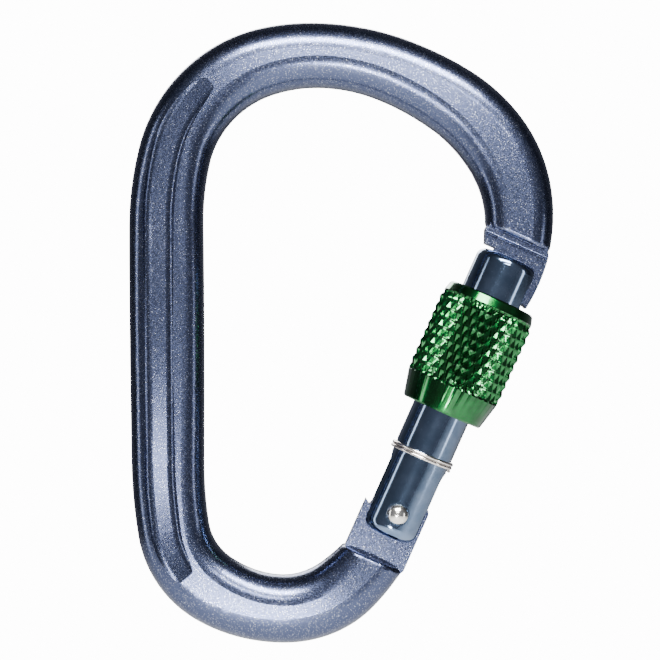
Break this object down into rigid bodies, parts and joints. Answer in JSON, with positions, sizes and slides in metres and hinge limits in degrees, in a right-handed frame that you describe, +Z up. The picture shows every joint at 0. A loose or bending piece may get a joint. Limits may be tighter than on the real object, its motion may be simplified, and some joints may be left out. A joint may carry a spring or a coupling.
{
  "type": "locking carabiner",
  "caption": "Pear-shaped aluminium locking carabiner with a sprung keylock gate and a knurled screw sleeve that locks over the nose.",
  "frame": {"origin": "rope bearing point: the crown of the top bow's inner edge, at mid thickness", "axes": "+Z up along the load line from the small basket to the large one, +X towards the gate, Y through the thickness (the pictured face looks along -Y)"},
  "size_m": [0.0689, 0.016, 0.1009],
  "materials": {
    "frame_anodised": "satin blue-grey anodising with a fine metallic sparkle",
    "gate_anodised": "polished dark steel-blue anodising",
    "sleeve_anodised": "glossy deep green anodising",
    "stainless_rivet": "polished",
    "stainless_wire": "bright drawn wire",
    "spring_steel": "drawn wire",
    "stainless_plunger": "turned"
  },
  "bodies": {
    "frame": {"frame": "frame_anodised"},
    "gate": {"gate": "gate_anodised", "hinge_rivet": "stainless_rivet", "gate_spring": "spring_steel"},
    "plunger": {"spring_plunger": "stainless_plunger"},
    "stop_ring": {"stop_ring": "stainless_wire"},
    "sleeve": {"screw_sleeve": "sleeve_anodised"}
  },
  "joints": [
    {"name": "gate_hinge", "type": "hinge", "parent": "frame", "child": "gate", "pos_m": [0.01348, 0, -0.0691], "axis": [0, -1, 0], "range_deg": [0, 26], "stiffness_Nm_per_rad": 0.03, "springref_deg": -74.48, "deforming": ["gate_spring"]},
    {"name": "plunger_travel", "type": "slide", "parent": "gate", "child": "plunger", "axis": [0.4086, 0, 0.9127], "range_m": [0, 0.00074]},
    {"name": "sleeve_turn", "type": "hinge", "parent": "gate", "child": "stop_ring", "pos_m": [0.01348, 0, -0.0691], "axis": [0.4086, 0, 0.9127], "range_deg": [-810, 1032]},
    {"name": "sleeve_travel", "type": "slide", "parent": "stop_ring", "child": "sleeve", "axis": [0.4086, 0, 0.9127], "range_m": [-0.00675, 0.0086]}
  ],
  "couplings": [
    {"joint": "plunger_travel", "follows": "gate_hinge", "m_per_rad": 0.0016},
    {"joint": "sleeve_travel", "follows": "sleeve_turn", "m_per_rad": 0.00047746}
  ]
}
